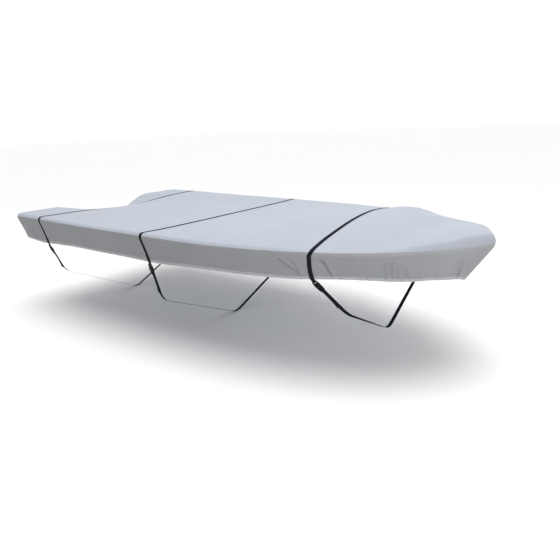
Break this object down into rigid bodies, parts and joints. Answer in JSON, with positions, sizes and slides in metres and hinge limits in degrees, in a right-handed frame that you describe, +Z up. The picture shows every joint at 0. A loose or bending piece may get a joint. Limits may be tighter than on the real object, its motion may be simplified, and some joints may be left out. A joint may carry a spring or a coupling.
{
  "type": "fitted boat cover",
  "caption": "Fitted cloth cover for a small open boat: one shaped top, side and transom skirts, and buckled webbing straps that pass under the hull.",
  "frame": {"origin": "on the centre plane, midway along the cover and level with the hull gunwales that carry it", "axes": "+X along the cover to the bow, +Y to port, +Z up"},
  "size_m": [3.8683, 1.8001, 0.9641],
  "materials": {
    "top_cloth": "light blue-grey coated polyester, fine plain weave",
    "skirt_cloth": "light grey coated polyester, fine plain weave",
    "webbing": "near-black ribbed polypropylene webbing",
    "buckle_plastic": "satin black moulded plastic"
  },
  "bodies": {
    "root": {"top_panel": "top_cloth", "skirt_starboard": "skirt_cloth", "skirt_port": "skirt_cloth", "skirt_transom": "skirt_cloth", "strap_stern": "webbing", "buckle_tongue_stern": "buckle_plastic", "buckle_socket_stern": "buckle_plastic", "strap_middle": "webbing", "buckle_tongue_middle": "buckle_plastic", "buckle_socket_middle": "buckle_plastic", "strap_bow": "webbing", "buckle_tongue_bow": "buckle_plastic", "buckle_socket_bow": "buckle_plastic"}
  },
  "joints": []
}
